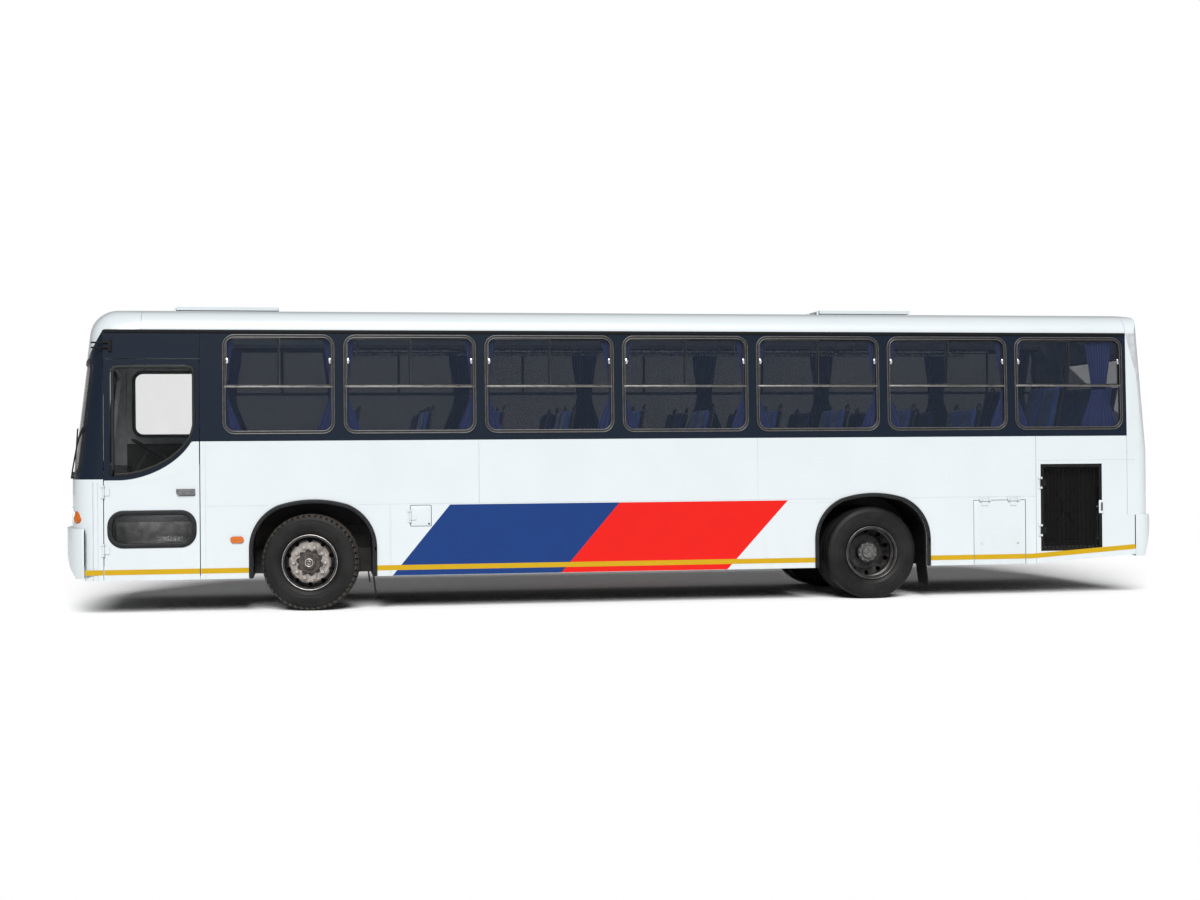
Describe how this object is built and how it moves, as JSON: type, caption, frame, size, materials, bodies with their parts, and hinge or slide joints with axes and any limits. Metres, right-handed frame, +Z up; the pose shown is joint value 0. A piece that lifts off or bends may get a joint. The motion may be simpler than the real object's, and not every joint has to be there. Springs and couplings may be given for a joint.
{
  "type": "single-deck passenger bus",
  "caption": "White single-deck passenger bus with a dark window band, curtained sliding windows, a hinged front door, twin rear wheels and a rear engine behind a grille.",
  "frame": {"origin": "on the road under the middle of the bus", "axes": "+X from nose to tail, +Y to the right-hand side of the bus, +Z up"},
  "size_m": [12.2, 2.5721, 3.3015],
  "materials": {
    "body_white": "gloss white paint",
    "band_black": "gloss blue-black paint",
    "tinted_glass": "tinted glass",
    "frame_dark": "dark matte finish",
    "rubber_black": "matte black rubber",
    "tyre_rubber": "worn rubber",
    "lamp_clear": "clear lens",
    "lamp_amber": "amber lens",
    "lamp_red": "red lens",
    "floor_grey": "ribbed floor covering",
    "chassis_black": "matte black chassis paint",
    "engine_iron": "cast iron",
    "alloy_grey": "dull aluminium",
    "seat_steel": "black painted steel",
    "seat_cloth": "blue upholstery",
    "curtain_cloth": "blue cloth",
    "steel_bare": "bare steel",
    "wheel_silver": "worn silver paint",
    "wheel_dark": "dark wheel paint"
  },
  "bodies": {
    "bus": {"side_skirts": "body_white", "side_waists": "body_white", "roof_panel": "body_white", "front_dome": "body_white", "front_fascia": "body_white", "rear_wall": "body_white", "front_bumper": "body_white", "rear_bumper": "body_white", "window_walls": "band_black", "screen_surround": "band_black", "windscreen": "tinted_glass", "windows": "tinted_glass", "window_frames": "frame_dark", "mirrors": "frame_dark", "wipers": "frame_dark", "dash": "frame_dark", "arch_trims": "rubber_black", "wheel_housings": "rubber_black", "headlamps": "lamp_clear", "amber_lamps": "lamp_amber", "tail_lamps": "lamp_red", "floor": "floor_grey", "entry_steps": "floor_grey", "rear_deck": "floor_grey", "chassis_frame": "chassis_black", "front_axle": "chassis_black", "rear_axle": "chassis_black", "leaf_springs": "chassis_black", "engine": "engine_iron", "radiator": "alloy_grey", "tanks": "alloy_grey", "seat_frames": "seat_steel", "seat_pads": "seat_cloth", "curtains": "curtain_cloth"},
    "passenger_door": {"door_lower": "body_white", "door_upper": "band_black", "door_glass": "tinted_glass"},
    "radiator_hatch": {"radiator_door": "chassis_black"},
    "service_hatch": {"service_flap": "body_white"},
    "fuel_hatch": {"fuel_flap": "body_white"},
    "engine_hatch": {"engine_lid": "body_white"},
    "roof_lid_front": {"roof_hatch_front": "body_white"},
    "roof_lid_rear": {"roof_hatch_rear": "body_white"},
    "steer_left_body": {"knuckle_left": "steel_bare"},
    "steer_right_body": {"knuckle_right": "steel_bare"},
    "track_rod": {"tie_rod": "steel_bare"},
    "wheel_front_left": {"front_left_tyre": "tyre_rubber", "front_left_wheel": "wheel_silver"},
    "wheel_front_right": {"front_right_tyre": "tyre_rubber", "front_right_wheel": "wheel_silver"},
    "wheel_rear_left": {"rear_left_tyres": "tyre_rubber", "rear_left_wheels": "wheel_dark"},
    "wheel_rear_right": {"rear_right_tyres": "tyre_rubber", "rear_right_wheels": "wheel_dark"},
    "hand_wheel": {"steering_wheel": "rubber_black"}
  },
  "joints": [
    {"name": "door_hinge", "type": "hinge", "parent": "bus", "child": "passenger_door", "pos_m": [-5.6095, -1.2665, 1], "axis": [0, 0, -1], "range_deg": [0, 85]},
    {"name": "radiator_hinge", "type": "hinge", "parent": "bus", "child": "radiator_hatch", "pos_m": [4.724, -1.2665, 1], "axis": [0, 0, -1], "range_deg": [0, 95]},
    {"name": "service_hinge", "type": "hinge", "parent": "bus", "child": "service_hatch", "pos_m": [4.2, -1.2665, 1.089], "axis": [-1, 0, 0], "range_deg": [0, 95]},
    {"name": "fuel_hinge", "type": "hinge", "parent": "bus", "child": "fuel_hatch", "pos_m": [-2.426, -1.2665, 1], "axis": [0, 0, -1], "range_deg": [0, 110]},
    {"name": "engine_hinge", "type": "hinge", "parent": "bus", "child": "engine_hatch", "pos_m": [6.0765, 0, 1.523], "axis": [0, -1, 0], "range_deg": [0, 75]},
    {"name": "hatch_front_hinge", "type": "hinge", "parent": "bus", "child": "roof_lid_front", "pos_m": [-4.9365, 0, 3.285], "axis": [0, -1, 0], "range_deg": [0, 60]},
    {"name": "hatch_rear_hinge", "type": "hinge", "parent": "bus", "child": "roof_lid_rear", "pos_m": [2.3835, 0, 3.285], "axis": [0, -1, 0], "range_deg": [0, 60]},
    {"name": "steer_left", "type": "hinge", "parent": "bus", "child": "steer_left_body", "pos_m": [-3.455, -0.93, 0.515], "axis": [0, 0, 1], "range_deg": [-34, 50]},
    {"name": "steer_right", "type": "hinge", "parent": "bus", "child": "steer_right_body", "pos_m": [-3.455, 0.93, 0.515], "axis": [0, 0, 1], "range_deg": [-34, 50]},
    {"name": "track_rod_pivot", "type": "hinge", "parent": "steer_left_body", "child": "track_rod", "pos_m": [-3.25695, -0.95783, 0.39], "axis": [0, 0, 1], "range_deg": [-50, 34]},
    {"name": "spin_front_left", "type": "hinge", "parent": "steer_left_body", "child": "wheel_front_left", "pos_m": [-3.47727, -1.08844, 0.515], "axis": [0.1392, 0.9903, 0], "continuous": true},
    {"name": "spin_front_right", "type": "hinge", "parent": "steer_right_body", "child": "wheel_front_right", "pos_m": [-3.43273, 1.08844, 0.515], "axis": [0.1392, 0.9903, 0], "continuous": true},
    {"name": "spin_rear_left", "type": "hinge", "parent": "bus", "child": "wheel_rear_left", "pos_m": [2.73, -0.9225, 0.515], "axis": [0, 1, 0], "continuous": true},
    {"name": "spin_rear_right", "type": "hinge", "parent": "bus", "child": "wheel_rear_right", "pos_m": [2.73, 0.9225, 0.515], "axis": [0, 1, 0], "continuous": true},
    {"name": "hand_wheel_turn", "type": "hinge", "parent": "bus", "child": "hand_wheel", "pos_m": [-5.54, 0.72, 1.36], "axis": [0.5299, 0, 0.848], "range_deg": [-612, 900]}
  ],
  "couplings": [
    {"joint": "steer_right", "follows": "steer_left", "ratio": 1},
    {"joint": "track_rod_pivot", "follows": "steer_left", "ratio": -1},
    {"joint": "hand_wheel_turn", "follows": "steer_left", "ratio": 18}
  ]
}
